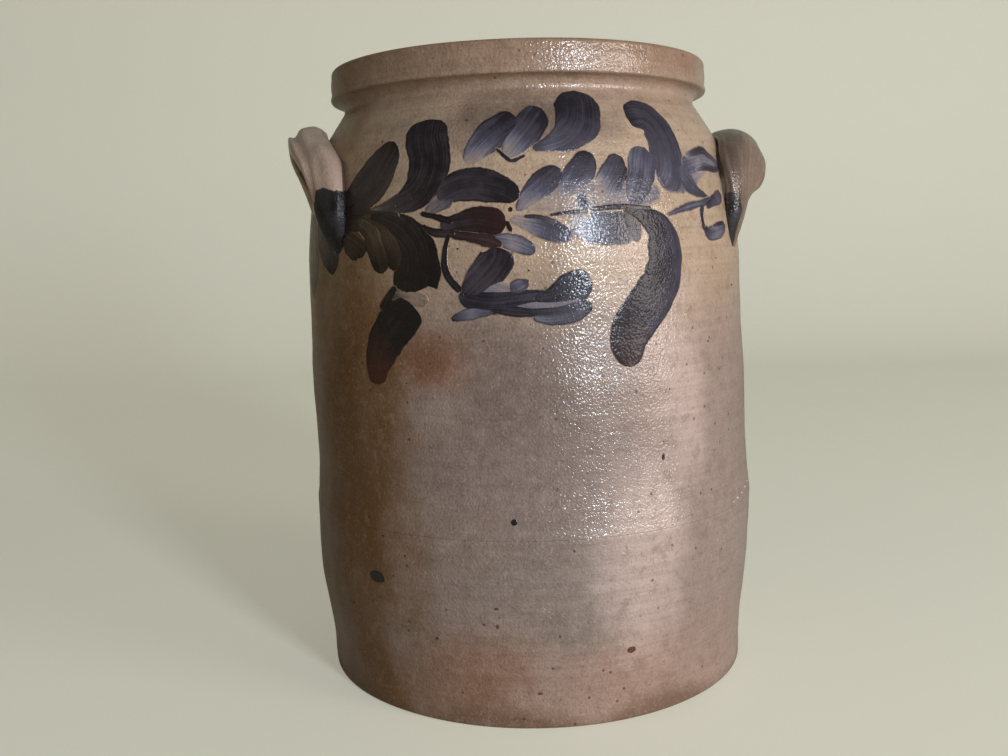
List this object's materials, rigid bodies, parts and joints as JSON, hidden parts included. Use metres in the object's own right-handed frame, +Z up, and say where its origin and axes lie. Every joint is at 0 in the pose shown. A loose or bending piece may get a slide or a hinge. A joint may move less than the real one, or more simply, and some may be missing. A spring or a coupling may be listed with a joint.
{
  "type": "stoneware storage jar",
  "caption": "Tall open stoneware jar thrown in two sections, with a squared collar rim and two arched strap handles luted to the shoulder.",
  "frame": {"origin": "centre of the foot's underside, on the surface the jar stands on", "axes": "+Z up along the jar's axis, +X to the right of the painted front, where the right-hand handle is, -Y towards that front"},
  "size_m": [0.3211, 0.303, 0.4],
  "materials": {
    "lower_stoneware": "salt glaze, orange-peel gloss",
    "upper_stoneware": "salt glaze with brushed cobalt leaves",
    "handle_stoneware": "thin salt glaze"
  },
  "bodies": {
    "root": {"lower_section": "lower_stoneware", "upper_section": "upper_stoneware", "left_handle": "handle_stoneware", "right_handle": "handle_stoneware"}
  },
  "joints": []
}
